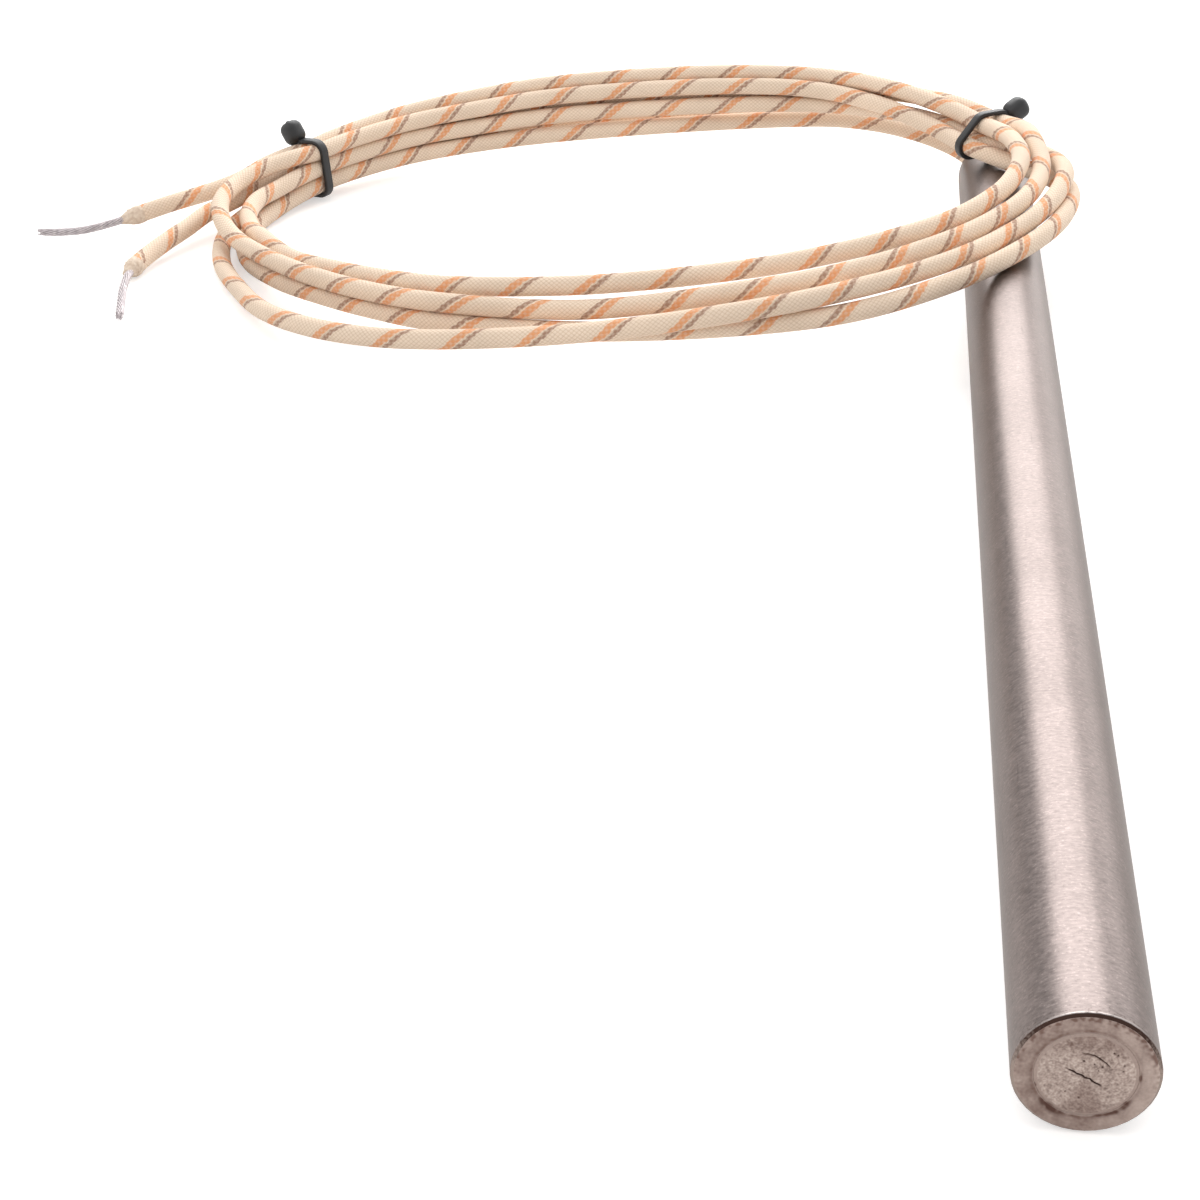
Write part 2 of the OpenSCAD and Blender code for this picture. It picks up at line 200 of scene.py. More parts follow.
def sweep(name, lines, radius, sides):
    """One mesh object of round tubes along lines of points."""
    curve = bpy.data.curves.new(name, "CURVE")
    curve.dimensions = "3D"
    curve.bevel_depth = radius
    # A bevel has four sides, and two more for each step of its resolution
    curve.bevel_resolution = (sides - 4) // 2
    curve.use_fill_caps = True
    for line in lines:
        spline = curve.splines.new("POLY")
        spline.points.add(len(line) - 1)
        for point, place in zip(spline.points, line):
            point.co = (*place, 1)
    holder = bpy.data.objects.new(name, curve)
    bpy.context.scene.collection.objects.link(holder)
    bpy.context.view_layer.update()
    mesh = bpy.data.meshes.new_from_object(holder.evaluated_get(bpy.context.evaluated_depsgraph_get()))
    bpy.data.objects.remove(holder)
    piece = bpy.data.objects.new(name, mesh)
    bpy.context.scene.collection.objects.link(piece)
    weld = bmesh.new()
    weld.from_mesh(mesh)
    bmesh.ops.remove_doubles(weld, verts=weld.verts, dist=MERGE_DISTANCE)
    bmesh.ops.recalc_face_normals(weld, faces=weld.faces)
    weld.to_mesh(mesh)
    weld.free()
    for face in mesh.polygons:
        face.use_smooth = len(face.vertices) == 4
    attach(piece, "root")
    return piece


leads = {}
for letter in "ab":
    leads[letter] = sweep("lead_" + letter, [routes[letter]], LEAD_D / 2, LEAD_SIDES)
    print(leads[letter].name, len(leads[letter].data.polygons), "faces")
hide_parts("lead_exit_a", "lead_coil", "lead_tail_a")
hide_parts("lead_exit_b", "lead_tail_b")

# %% [markdown]
# ## Bare ends
# Each tail is stripped for about two centimetres. The wire there is a rope of thin plated strands,
# so it is swept as one thick middle strand with a ring of thin ones twisted round it. They close
# up at the tip, where the cutters squeezed them.

# %% Twist the bare strands
BARE_ROUTES = {
    "a": [(-145.6, 73, 1.9), (-145.8, 71, 1.8), (-145.9, 68, 1.65), (-145.1, 62.5, 1.2),
          (-143.4, 56, 0.95), (-141.8, 50.2, 0.9)],
    "b": [(-152.6, 98.1, 2.5), (-154, 97, 2.2), (-157.25, 94.5, 1.6), (-161.5, 91.5, 1.1),
          (-166, 90.3, 0.9), (-169.6, 90, 0.9)],
}
BARE_D = 1.35 * MM
BARE_STEP = 0.5 * MM
STRAND_COUNT = 10
STRAND_R = 0.15 * MM
STRAND_SIDES = 6
CORE_FILL = 0.85
CORE_SIDES = 8
TWIST_PITCH = 14 * MM
TIP_LENGTH = 2 * MM
TIP_PINCH = 0.25
UNEVEN_TIPS = 3

bare_ends = {}
for letter, points in BARE_ROUTES.items():
    middle, total = smooth_route(points, BARE_STEP)
    ring_r = BARE_D / 2 - STRAND_R
    strands = []
    for k in range(STRAND_COUNT):
        strand = []
        for i, place in enumerate(middle[:len(middle) - k % UNEVEN_TIPS]):
            ahead = (middle[min(i + 1, len(middle) - 1)] - middle[max(i - 1, 0)]).normalized()
            across = ahead.cross(Vector((0, 0, 1))).normalized()
            walked = total * i / (len(middle) - 1)
            near_tip = max(0.0, 1 - (total - walked) / TIP_LENGTH)
            turn = 2 * math.pi * (k / STRAND_COUNT + walked / TWIST_PITCH)
            out = ring_r * (1 - TIP_PINCH * near_tip * near_tip)
            strand.append(place + out * (math.cos(turn) * across + math.sin(turn) * across.cross(ahead)))
        strands.append(strand)
    thick = sweep("core_of_" + letter, [middle[:-1]], ring_r * CORE_FILL, CORE_SIDES)
    rope = sweep("bare_strands_" + letter, strands, STRAND_R, STRAND_SIDES)
    joined = bmesh.new()
    joined.from_mesh(rope.data)
    joined.from_mesh(thick.data)
    joined.to_mesh(rope.data)
    joined.free()
    bpy.data.objects.remove(thick)
    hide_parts("bare_end_" + letter)
    bare_ends[letter] = rope
    print(rope.name, "length", round(total, 4), "m,", len(rope.data.polygons), "faces")

# %% [markdown]
# ## Cut ends of the braid
# Where the braid was cut back it swells a little and closes in on the wire, with loose glass fibres
# standing off it. Each end is one profile spun round the lead and pushed about by noise, and the
# fibres are a handful of hair-thin tubes. A seeded draw keeps every run the same.

# %% Fray the cut ends
CUFF_OUTLINE = [(0, -1.8), (1.5, -1.8), (1.58, -1.3), (1.63, -0.7), (1.6, -0.1), (1.46, 0.5), (1.22, 1.1),
                (0.98, 1.7), (0.8, 2.2), (0.7, 2.6), (0, 2.6)]
CUFF_STEPS = 28
CUFF_LUMPS_PER_M = 700
CUFF_RAGGED = 0.07
FIBRE_COUNT = 14
FIBRE_R = 0.04 * MM
FIBRE_SIDES = 4
FIBRE_STEPS = 5
FIBRE_ROOT = 1.35 * MM
FIBRE_REACH = (0.6, 1.5)
FIBRE_LIFT = (0.1, 0.5)
FIBRE_SWAY = (-0.5, 0.5)


def piece_from(name, shape):
    """A finished bmesh as an object that rides with the heater."""
    mesh = bpy.data.meshes.new(name)
    bmesh.ops.recalc_face_normals(shape, faces=shape.faces)
    shape.to_mesh(mesh)
    shape.free()
    for face in mesh.polygons:
        face.use_smooth = True
    piece = bpy.data.objects.new(name, mesh)
    bpy.context.scene.collection.objects.link(piece)
    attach(piece, "root")
    return piece


def spin_profile(outline, steps):
    """A closed shape of revolution round Z from (radius, height) pairs in millimetres."""
    shape = bmesh.new()
    corners = [shape.verts.new((r * MM, 0, z * MM)) for r, z in outline]
    edges = [shape.edges.new(pair) for pair in zip(corners, corners[1:])]
    bmesh.ops.spin(shape, geom=corners + edges, cent=(0, 0, 0), axis=(0, 0, 1), angle=2 * math.pi,
                   steps=steps, use_merge=True)
    bmesh.ops.remove_doubles(shape, verts=shape.verts, dist=MERGE_DISTANCE)
    return shape


def stand_on(place, along):
    """The matrix that carries Z at the origin to a direction at a place."""
    return Matrix.Translation(place) @ along.to_track_quat("Z", "Y").to_matrix().to_4x4()


frays = {}
draw = random.Random(12)
for letter in "ab":
    end = routes[letter][-1]
    along = (end - routes[letter][-3]).normalized()
    seat = stand_on(end, along)
    cuff = spin_profile(CUFF_OUTLINE, CUFF_STEPS)
    for vert in cuff.verts:
        ragged = noise.noise(vert.co * CUFF_LUMPS_PER_M + Vector((0, 0, 7 * ord(letter))))
        vert.co.xy *= 1 + CUFF_RAGGED * ragged
    cuff.transform(seat)
    fibres = []
    for k in range(FIBRE_COUNT):
        turn = 2 * math.pi * (k + draw.random()) / FIBRE_COUNT
        reach = draw.uniform(*FIBRE_REACH) * MM
        lift = draw.uniform(*FIBRE_LIFT)
        side = Vector((math.cos(turn), math.sin(turn), 0))
        sway = Vector((-side.y, side.x, 0)) * draw.uniform(*FIBRE_SWAY)
        line = []
        for i in range(FIBRE_STEPS + 1):
            t = i / FIBRE_STEPS
            line.append(seat @ (side * (FIBRE_ROOT + reach * lift * t * t) + sway * reach * t * t
                                + Vector((0, 0, reach * t))))
        fibres.append([p if p.z > FIBRE_R else Vector((p.x, p.y, FIBRE_R)) for p in line])
    hair = sweep("hair_" + letter, fibres, FIBRE_R, FIBRE_SIDES)
    cuff.from_mesh(hair.data)
    bpy.data.objects.remove(hair)
    frays[letter] = piece_from("braid_fray_" + letter, cuff)
    print(frays[letter].name, len(frays[letter].data.polygons), "faces")

# %% [markdown]
# ## Cable ties
# Two nylon ties hold the turns together. A tie is a flat strap pulled through its own head, so the
# strap is an edge of the strap's width that is extruded along the flat sides of the bundle and spun
# round its corner strands, then given its thickness. The head is a block with soft edges, a sunk top
# and the cut stub of the strap. At the right the strands lean over, so that strap leans too.

# %% Shape a strap and a head
TIE_W = 1.75 * MM
TIE_T = 0.75 * MM
TIE_GAP = 0.04 * MM
TIE_CORNER = LEAD_D / 2 + TIE_GAP
CORNER_STEP_RADIANS = 0.2
STRAP_EDGE_R = 0.2 * MM
SHARP_EDGE_RADIANS = 1.2
HEAD_SIDE = 3.8 * MM
HEAD_RISE = 3.6 * MM
HEAD_ROUND = 1.5 * MM
HEAD_LIP = 0.15 * MM
HEAD_SINK = 0.3 * MM
STUB_SIZE = (0.5 * MM, 0.7 * MM, 1.0 * MM)
STUB_DROP = 0.35 * MM
STUB_EDGE_R = 0.1 * MM


def strap_loop(corners):
    """A closed strap round a bundle with those corner strands, with its thickness outside."""
    loop = bmesh.new()
    runs = [there - here for here, there in zip(corners, corners[1:] + corners[:1])]
    start = corners[0] + Vector((runs[0].y, -runs[0].x, 0)).normalized() * TIE_CORNER
    verts = [loop.verts.new(start + Vector((0, 0, s * TIE_W / 2))) for s in (-1, 1)]
    strip = [loop.edges.new(verts)]
    for run, after, about in zip(runs, runs[1:] + runs[:1], corners[1:] + corners[:1]):
        moved = bmesh.ops.extrude_edge_only(loop, edges=strip)["geom"]
        fresh = [g for g in moved if isinstance(g, bmesh.types.BMVert)]
        bmesh.ops.translate(loop, verts=fresh, vec=run)
        strip = [g for g in moved if isinstance(g, bmesh.types.BMEdge) and all(v in fresh for v in g.verts)]
        bend = run.angle(after)
        turned = bmesh.ops.spin(loop, geom=fresh + strip, cent=about, axis=(0, 0, 1), angle=bend,
                                steps=max(2, round(bend / CORNER_STEP_RADIANS)))["geom_last"]
        strip = [g for g in turned if isinstance(g, bmesh.types.BMEdge)]
    bmesh.ops.remove_doubles(loop, verts=loop.verts, dist=10 * MERGE_DISTANCE)
    bmesh.ops.recalc_face_normals(loop, faces=loop.faces)
    bmesh.ops.solidify(loop, geom=loop.faces[:], thickness=-TIE_T)
    rims = [e for e in loop.edges if e.calc_face_angle(0) > SHARP_EDGE_RADIANS]
    bmesh.ops.bevel(loop, geom=rims, offset=STRAP_EDGE_R, offset_type="OFFSET", affect="EDGES", segments=3,
                    profile=0.5, material=-1)
    return loop


def tie_head():
    """A tie's head, standing on Z = 0, with its sunk top and the cut stub of the strap."""
    head = bmesh.new()
    bmesh.ops.create_cube(head, size=1)
    bmesh.ops.scale(head, verts=head.verts, vec=(HEAD_SIDE, HEAD_SIDE, HEAD_RISE + TIE_T))
    bmesh.ops.translate(head, verts=head.verts, vec=(0, 0, (HEAD_RISE - TIE_T) / 2))
    bmesh.ops.bevel(head, geom=head.edges[:], offset=HEAD_ROUND, offset_type="OFFSET", affect="EDGES",
                    segments=6, profile=0.5, material=-1)
    top = max(head.faces, key=lambda f: f.calc_center_median().z)
    bmesh.ops.inset_region(head, faces=[top], thickness=HEAD_LIP)
    bmesh.ops.translate(head, verts=top.verts, vec=(0, 0, -HEAD_SINK))
    stub = bmesh.ops.create_cube(head, size=1)["verts"]
    bmesh.ops.scale(head, verts=stub, vec=STUB_SIZE)
    bmesh.ops.translate(head, verts=stub, vec=(0, 0, HEAD_RISE - STUB_DROP))
    edges = list({e for v in stub for e in v.link_edges})
    bmesh.ops.bevel(head, geom=edges, offset=STUB_EDGE_R, offset_type="OFFSET", affect="EDGES", segments=2,
                    profile=0.5, material=-1)
    return head


print("strap", round(TIE_W / MM, 2), "mm wide, head", round(HEAD_SIDE / MM, 2), "mm wide")

# %% [markdown]
# ## Ties in place
# A tie is made flat, in a frame of its own that stands across the turns, and then carried to its
# place on the coil. The strands at the bundle's corners say where the strap bends.

# %% Draw the ties tight
COIL_SLOPE = math.atan(ROD_D / -SLOPE_FOOT)
TIES = [
    # name, angle on the coil, reach and rise of the corner strands, lean of the head
    ("right", 27, [(53.2, 2.8), (56.35, 2.8), (59.5, 5.9), (56.35, 5.95)], 63),
    ("left", 153, [(55.6, 2.4), (58.8, 2.4), (58.8, 8.6), (55.6, 8.6)], 28),
]


def tie_frame(angle, reach, rise):
    """The matrix of a tie's own frame: X out of the coil, Y up, Z along the turns."""
    turn = math.radians(angle)
    tilt = Matrix.Rotation(-COIL_SLOPE, 4, "Y")
    axes = Matrix(((math.cos(turn), 0, math.sin(turn)), (math.sin(turn), 0, -math.cos(turn)), (0, 1, 0)))
    return Matrix.Translation(Vector(on_coil(angle, reach, rise)) * MM) @ tilt @ axes.to_4x4()


ties = {}
for side, angle, strands, lean in TIES:
    reach, rise = (sum(place) / len(strands) for place in zip(*strands))
    corners = [Vector((r - reach, h - rise, 0)) * MM for r, h in strands]
    tie = strap_loop(corners)
    head = tie_head()
    up = Vector((math.sin(math.radians(lean)), math.cos(math.radians(lean)), 0))
    head.transform(stand_on(corners[2] + up * (TIE_CORNER + TIE_T), up))
    spare = bpy.data.meshes.new("spare")
    head.to_mesh(spare)
    head.free()
    tie.from_mesh(spare)
    bpy.data.meshes.remove(spare)
    tie.transform(tie_frame(angle, reach, rise))
    ties[side] = piece_from("nylon_tie_" + side, tie)
    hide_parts("tie_" + side)
    print(ties[side].name, len(ties[side].data.polygons), "faces")

# %% [markdown]
# The leads are free cords, so their real length is printed. The photograph shows the whole coil and
# both bare tips, and only the short way from the rod to the coil is hidden, so the length is that of
# the route.

# %% Print the lengths of the two leads
for letter, held_by in (("a", [ties["right"], ties["left"]]), ("b", [])):
    print("cord", leads[letter].name, round(lengths[letter], 3), "m")

# %% [markdown]
# ## Closed end
# The rod is closed by a turned disc that was welded in. The weld left a smooth ring that laps a little
# over the rim, a fine groove shows where it stopped, burnt in places, and the middle of the disc is
# grainy, pitted and scored by two long marks.
# A bump map would do for a far view, but this face is nearest to the camera, so both pieces are spun
# with many rings and their front is pushed in and out. How deep a point was pushed, and how brown it
# is from stains and painted shade, stay on the mesh as attributes for the finish. Places on the face
# are (across, up) in millimetres from the axis.

# %% Describe the marks on the face
DISC_GRAIN = [(0.026, 0.16), (0.018, 0.35), (0.01, 1.5)]
WELD_GRAIN = [(0.006, 0.25), (0.015, 1.3)]
MARK_WAVER = 0.12
WAVER_SIZE = 0.5
PIT_DEPTH = 0.08
BURN_DEPTH = 0.06
MARKS = [
    # points along the mark, half its width, depth
    ([(-0.72, 2.40), (0.48, 2.10), (1.23, 1.63), (2.12, 0.77)], 0.075, 0.09),
    ([(-2.06, 0.67), (-1.02, 0.29), (-0.12, -0.19), (1.08, -0.87), (1.40, -1.10)], 0.085, 0.12),
]
PITS = [
    # across, up, half the width
    (-0.34, 1.44, 0.10), (1.23, 0.96, 0.09), (3.02, 1.25, 0.11), (3.00, 0.67, 0.09), (2.05, 2.50, 0.08),
    (2.40, 2.30, 0.07), (-0.42, -2.46, 0.10), (0.55, 1.20, 0.07), (0.95, 0.55, 0.06), (-1.60, -1.90, 0.06)]
BURNS = [
    # angle round the face, reach, half the angle, half the width
    (234, 4.62, 15, 0.36), (310, 4.58, 14, 0.24), (263, 4.50, 3.5, 0.16), (288, 4.45, 8, 0.12),
    (322, 4.40, 4, 0.15), (2, 4.45, 6, 0.12), (200, 4.35, 10, 0.10)]


def face_noise(x, z, size):
    """Smooth noise on the end face, for lumps of a size in millimetres."""
    return noise.noise(Vector((x / size, z / size, 3.7 * size)))


def lumps(x, z, grain):
    """Height in millimetres of a grain that is given as heights and sizes of lumps."""
    return sum(rise * face_noise(x, z, size) for rise, size in grain)


def share(value, low, high):
    """How far a value is between two limits, held to 0 and 1."""
    return max(0.0, min(1.0, (value - low) / (high - low)))


def mark_depth(x, z, line, width):
    """How deep a point lies in a scored mark, from 0 to 1, fading at the mark's ends."""
    here = Vector((x + MARK_WAVER * face_noise(x, z, WAVER_SIZE),
                   z + MARK_WAVER * face_noise(x, z + 40, WAVER_SIZE)))
    nearest, along = math.inf, 0.0
    for i, (p, q) in enumerate(zip(line, line[1:])):
        p, q = Vector(p), Vector(q)
        t = max(0.0, min(1.0, (here - p).dot(q - p) / (q - p).length_squared))
        off = (here - p.lerp(q, t)).length
        if off < nearest:
            nearest, along = off, (i + t) / (len(line) - 1)
    fade = 1 - abs(2 * along - 1) ** 3
    return fade * math.exp(-(nearest / width) ** 2)


def burn(x, z):
    """How burnt a point beside the groove is, from 0 to 1, in ragged patches."""
    around = math.degrees(math.atan2(z, x))
    near = 0.0
    for angle, reach, half, wide in BURNS:
        along = ((around - angle + 180) % 360 - 180) / half
        near += math.exp(-along ** 2 - ((math.hypot(x, z) - reach) / wide) ** 2)
    torn = max(0.0, min(1.0, 0.75 + 0.8 * face_noise(x, z + 11, 0.4)))
    return min(1.0, 1.5 * near * torn)


def disc_face(x, z):
    """Height out of the face in millimetres, and brown from stains and painted shade, on the disc's grainy
    middle.
    """
    height = lumps(x, z, DISC_GRAIN)
    for line, width, deep in MARKS:
        height -= deep * mark_depth(x, z, line, width)
    for px, pz, size in PITS:
        height -= PIT_DEPTH * math.exp(-((x - px) ** 2 + (z - pz) ** 2) / size ** 2)
    # A brown wedge opens downwards from the middle, and the top of the disc is a little darker, which is
    # painted shade
    off_down = abs(math.degrees(math.atan2(x, -z - 0.2)))
    wedge = 0.5 * share(off_down, 38, 18) * share(math.hypot(x, z), 0, 0.8)
    shaded = share(z, 1.4, 3.2) * (0.45 + 0.4 * face_noise(x, z, 0.6))
    return height, max(wedge, shaded, burn(x, z))


def weld_face(x, z):
    """Height out of the face in millimetres, and brown from stains and painted shade, on the ring of weld."""
    r = math.hypot(x, z)
    burnt = burn(x, z)
    height = lumps(x, z, WELD_GRAIN) - BURN_DEPTH * burnt
    # The tint is cloudy and fades to the right, and soot with painted shade lies in flecks along the upper
    # rim
    cloudy = 0.8 + 0.5 * face_noise(x, z + 30, 0.3) + 0.5 * face_noise(x, z + 30, 1.1)
    tinted = (0.55 - 0.55 * max(0.0, x / r)) * max(0.0, cloudy)
    flecked = 0.7 + 1.8 * face_noise(x, z + 50, 0.35)
    soot_and_shade = share(r, 5.05, 6.0) ** 1.5 * share(z, -2, 3) * max(0.0, flecked)
    beside_groove = 0.3 * math.exp(-((r - 4.62) / 0.16) ** 2)
    return height, min(1.0, max(burnt, tinted, soot_and_shade) + beside_groove)


print("marks:", len(MARKS), "pits:", len(PITS), "burns:", len(BURNS))

# %% [markdown]
# ## Disc and weld
# Both pieces start as a profile of (radius, depth) pairs, spun round the axis. A profile with many
# rings on its front gives the marks enough points to show. The weld dishes a little towards the
# groove and rolls over the rim on its outside.

# %% Turn the disc and the weld
END_Y = -127.0
FACE_STEPS = 320
DISC_RINGS = 64
WELD_RINGS = 26
LAP_RINGS = 5
GROOVE_R = 4.2
GROOVE_SECTION = [(-0.03, 0.035), (0.03, 0.07), (0.09, 0.085), (0.16, 0.085)]
DISC_FLAT_R = GROOVE_R - 0.08
DISC_SINK = 0.02
DISC_R = 5.4
DISC_BEVEL = 1.45
DISC_T = 3.2
WELD_IN_R = 4.35
WELD_FLAT_R = 4.44
RIM_R = 5.95
WELD_R = 6.05
WELD_LAP = WELD_R - RIM_R
WELD_DISH = 0.09
WELD_PROUD = 0.02
WELD_ROOT = [(5.43, 1.2), (5.25, 1.2)]
EDGE_FADE = 0.08
SIDE_DEPTH = 0.4
SIDE_REACH = 0.3
SIDE_STAIN = 0.25


def end_piece(name, outline, face, inner, outer, depth):
    """A spun piece of the closed end whose front, between two radii, is given a relief."""
    shape = spin_profile(outline, FACE_STEPS)
    relief = shape.verts.layers.float.new("relief")
    # This layer holds stains and also painted shade
    stain_and_shade = shape.verts.layers.float.new("stain_and_shade")
    for vert in shape.verts:
        x, z = vert.co.x / MM, vert.co.y / MM
        r = math.hypot(x, z)
        if inner <= r <= outer and vert.co.z / MM < depth:
            fade = min(1.0, (outer - r) / EDGE_FADE, (r - inner) / EDGE_FADE if inner > 0 else 1.0)
            height, vert[stain_and_shade] = face(x, z)
            vert[relief] = height * fade
            vert.co.z -= height * fade * MM
        elif vert.co.z / MM < SIDE_DEPTH and r < outer + SIDE_REACH:
            vert[stain_and_shade] = max(SIDE_STAIN, burn(x, z))
    shape.transform(Matrix(((1, 0, 0, 0), (0, 0, 1, END_Y * MM), (0, 1, 0, ROD_D / 2 * MM), (0, 0, 0, 1))))
    return piece_from(name, shape)


def ramp(start, stop, count):
    """Even steps between two values."""
    return [start + (stop - start) * i / count for i in range(count + 1)]


disc_outline = [(r, DISC_SINK) for r in ramp(0, DISC_FLAT_R, DISC_RINGS)]
disc_outline += [(GROOVE_R + out, deep) for out, deep in GROOVE_SECTION]
disc_outline += [(DISC_R, DISC_BEVEL), (DISC_R, DISC_T), (0, DISC_T)]
disc = end_piece("disc_face", disc_outline, disc_face, 0, DISC_FLAT_R, depth=0.1)
weld_outline = [(WELD_IN_R, 0.25), (WELD_IN_R + 0.01, 0.17)]
for r in ramp(WELD_FLAT_R, RIM_R, WELD_RINGS):
    inwards = (RIM_R - r) / (RIM_R - WELD_FLAT_R)
    weld_outline.append((r, WELD_DISH * inwards ** 2 - WELD_PROUD))
for r in ramp(RIM_R + WELD_LAP / LAP_RINGS, WELD_R, LAP_RINGS):
    outwards = (r - RIM_R) / WELD_LAP
    weld_outline.append((r, WELD_LAP * outwards ** 1.5 - WELD_PROUD))
weld_outline += [(WELD_R - 0.02, 0.15), *WELD_ROOT, (WELD_IN_R, 0.25)]
weld_ring = end_piece("weld_ring", weld_outline, weld_face, WELD_FLAT_R, WELD_R, depth=0.16)
for piece, node in ((disc, "end_disc"), (weld_ring, "end_weld")):
    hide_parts(node)
    print(piece.name, len(piece.data.polygons), "faces")

# %% [markdown]
# ## Finishes
# Every finish is a Principled shader whose colour, roughness and bump come from noise at a real
# size. One function adds a node with its settings and links, and one turns a web colour into the
# linear values that shaders use. Sockets can share a name, so many are given by their place: a Map
# Range has its value, the range that it comes from and the one that it goes to as 0 to 4, and a Mix
# of colours has its share as 0 and the two colours as 6 and 7.

# %% Start a finish


def linear(web):
    """A web colour as linear red, green, blue and alpha."""
    parts = [int(web[i:i + 2], 16) / 255 for i in (1, 3, 5)]
    return [p / 12.92 if p <= 0.04045 else ((p + 0.055) / 1.055) ** 2.4 for p in parts] + [1.0]


def add(tree, kind, settings=(), inputs=()):
    """A node with its settings, and its inputs set to a value or linked to a socket."""
    node = tree.nodes.new("ShaderNode" + kind)
    for name, value in dict(settings).items():
        setattr(node, name, value)
    for key, value in dict(inputs).items():
        if isinstance(value, bpy.types.NodeSocket):
            tree.links.new(value, node.inputs[key])
        else:
            node.inputs[key].default_value = value
    return node


def start_finish(name, **values):
    """A new material with its shader's constant values; returns it with its nodes."""
    material = bpy.data.materials.new(name)
    material.use_nodes = True
    tree = material.node_tree
    shader = tree.nodes["Principled BSDF"]
    for key, value in values.items():
        shader.inputs[key.replace("_", " ")].default_value = value
    return material, tree, shader


def colour_stops(node, stops):
    """Sets a colour ramp to (position, web colour) pairs."""
    elements = node.color_ramp.elements
    while len(elements) < len(stops):
        elements.new(0.5)
    for element, (position, web) in zip(elements, stops):
        element.position = position
        element.color = linear(web)


def dress(piece, material):
    """Gives a piece one finish."""
    piece.data.materials.clear()
    piece.data.materials.append(material)


PER_MM = 1 / MM
print("a pattern of one grain a millimetre has a scale of", PER_MM)

# %% [markdown]
# ### Glass braid
# Cream glass yarn is braided at a slant both ways, and one orange and one brown tracer run through
# it, once round in 11.5 mm. Yarn is matt and soft to the eye. Its crossings are drawn about 0.7 mm
# apart, which is just coarse enough to show, and a tracer dips under every other one. One lead was
# cut from the reel the other way round, so its two tracers come in the other order.

# %% Braid finish
TRACER_PITCH = 11.5 * MM
YARNS_EACH_WAY = 14
TRACER_FUZZ = 0.1
TRACER_SOFT = 0.025
CREAM, SHADED_CREAM, ORANGE, BROWN = "#F8E2CC", "#E2C8AD", "#ECA676", "#AE8A75"


def glass_braid(name, length, tracers):
    """The braid's finish for a lead of a given length, with each tracer's start, end and colour."""
    material, tree, shader = start_finish(name, Roughness=0.85, Sheen_Weight=0.1, Specular_IOR_Level=0.25)
    lay = add(tree, "UVMap", {"uv_map": "UVMap"})
    parts = add(tree, "SeparateXYZ", inputs={0: lay.outputs[0]})
    turns = add(tree, "Math", {"operation": "MULTIPLY"}, {0: parts.outputs[0], 1: length / TRACER_PITCH})
    spot = add(tree, "TexCoord").outputs["Object"]
    waves = []
    for operation in ("ADD", "SUBTRACT"):
        way = add(tree, "Math", {"operation": operation}, {0: turns.outputs[0], 1: parts.outputs[1]})
        wave = add(tree, "Math", {"operation": "MULTIPLY"}, {0: way.outputs[0], 1: math.pi * YARNS_EACH_WAY})
        waves.append(add(tree, "Math", {"operation": "SINE"}, {0: wave.outputs[0]}))
    weave = add(tree, "Math", {"operation": "MULTIPLY"}, {0: waves[0].outputs[0], 1: waves[1].outputs[0]})
    crowns = add(tree, "Math", {"operation": "ABSOLUTE"}, {0: weave.outputs[0]})
    fuzz = add(tree, "TexNoise", inputs={"Vector": spot, "Scale": 1.2 * PER_MM, "Detail": 3.0})
    slant = add(tree, "Math", {"operation": "ADD"}, {0: turns.outputs[0], 1: parts.outputs[1]})
    fuzzy = add(tree, "Math", {"operation": "MULTIPLY_ADD"},
                {0: fuzz.outputs[0], 1: TRACER_FUZZ, 2: slant.outputs[0]})
    part = add(tree, "Math", {"operation": "FRACT"}, {0: fuzzy.outputs[0]})
    over = add(tree, "MapRange", inputs={0: weave.outputs[0], 1: -0.25, 2: 0.25, 3: 0.7, 4: 1.0})
    # The hollows between the yarns' crowns take the shaded cream: painted shade
    groove = add(tree, "MapRange", inputs={0: crowns.outputs[0], 1: 0.0, 2: 0.5, 3: 0.0, 4: 1.0})
    colour = add(tree, "Mix", {"data_type": "RGBA"},
                 {0: groove.outputs[0], 6: linear(SHADED_CREAM), 7: linear(CREAM)}).outputs[2]
    for start, stop, web in tracers:
        band = add(tree, "ValToRGB", inputs={0: part.outputs[0]})
        colour_stops(band, [(start, "#000000"), (start + TRACER_SOFT, "#FFFFFF"),
                            (stop - TRACER_SOFT, "#FFFFFF"), (stop, "#000000")])
        shown = add(tree, "Math", {"operation": "MULTIPLY"}, {0: band.outputs[0], 1: over.outputs[0]})
        colour = add(tree, "Mix", {"data_type": "RGBA"},
                     {0: shown.outputs[0], 6: colour, 7: linear(web)}).outputs[2]
    dirt = add(tree, "TexNoise", inputs={"Vector": spot, "Scale": 0.06 * PER_MM, "Detail": 3.0})
    tone = add(tree, "MapRange", inputs={0: dirt.outputs[0], 1: 0.3, 2: 0.7, 3: 0.9, 4: 1.03})
    soiled = add(tree, "Mix", {"data_type": "RGBA", "blend_type": "MULTIPLY"},
                 {0: 1.0, 6: colour, 7: tone.outputs[0]})
    bump = add(tree, "Bump", inputs={"Strength": 0.5, "Distance": 0.12 * MM, "Height": crowns.outputs[0]})
    tree.links.new(soiled.outputs[2], shader.inputs["Base Color"])
    tree.links.new(bump.outputs[0], shader.inputs["Normal"])
    return material


ORDERS = {
    "a": [(0.87, 0.985, BROWN), (0.0, 0.17, ORANGE)],
    "b": [(0.01, 0.18, ORANGE), (0.195, 0.31, BROWN)],
}
for letter, tracers in ORDERS.items():
    dress(leads[letter], glass_braid("glass_braid_lead_" + letter, lengths[letter], tracers))
    print("braid on", leads[letter].name)

# %% [markdown]
# ### Loose glass fibre
# At the cut the yarns lose their order: matt, beige and a little dirty.

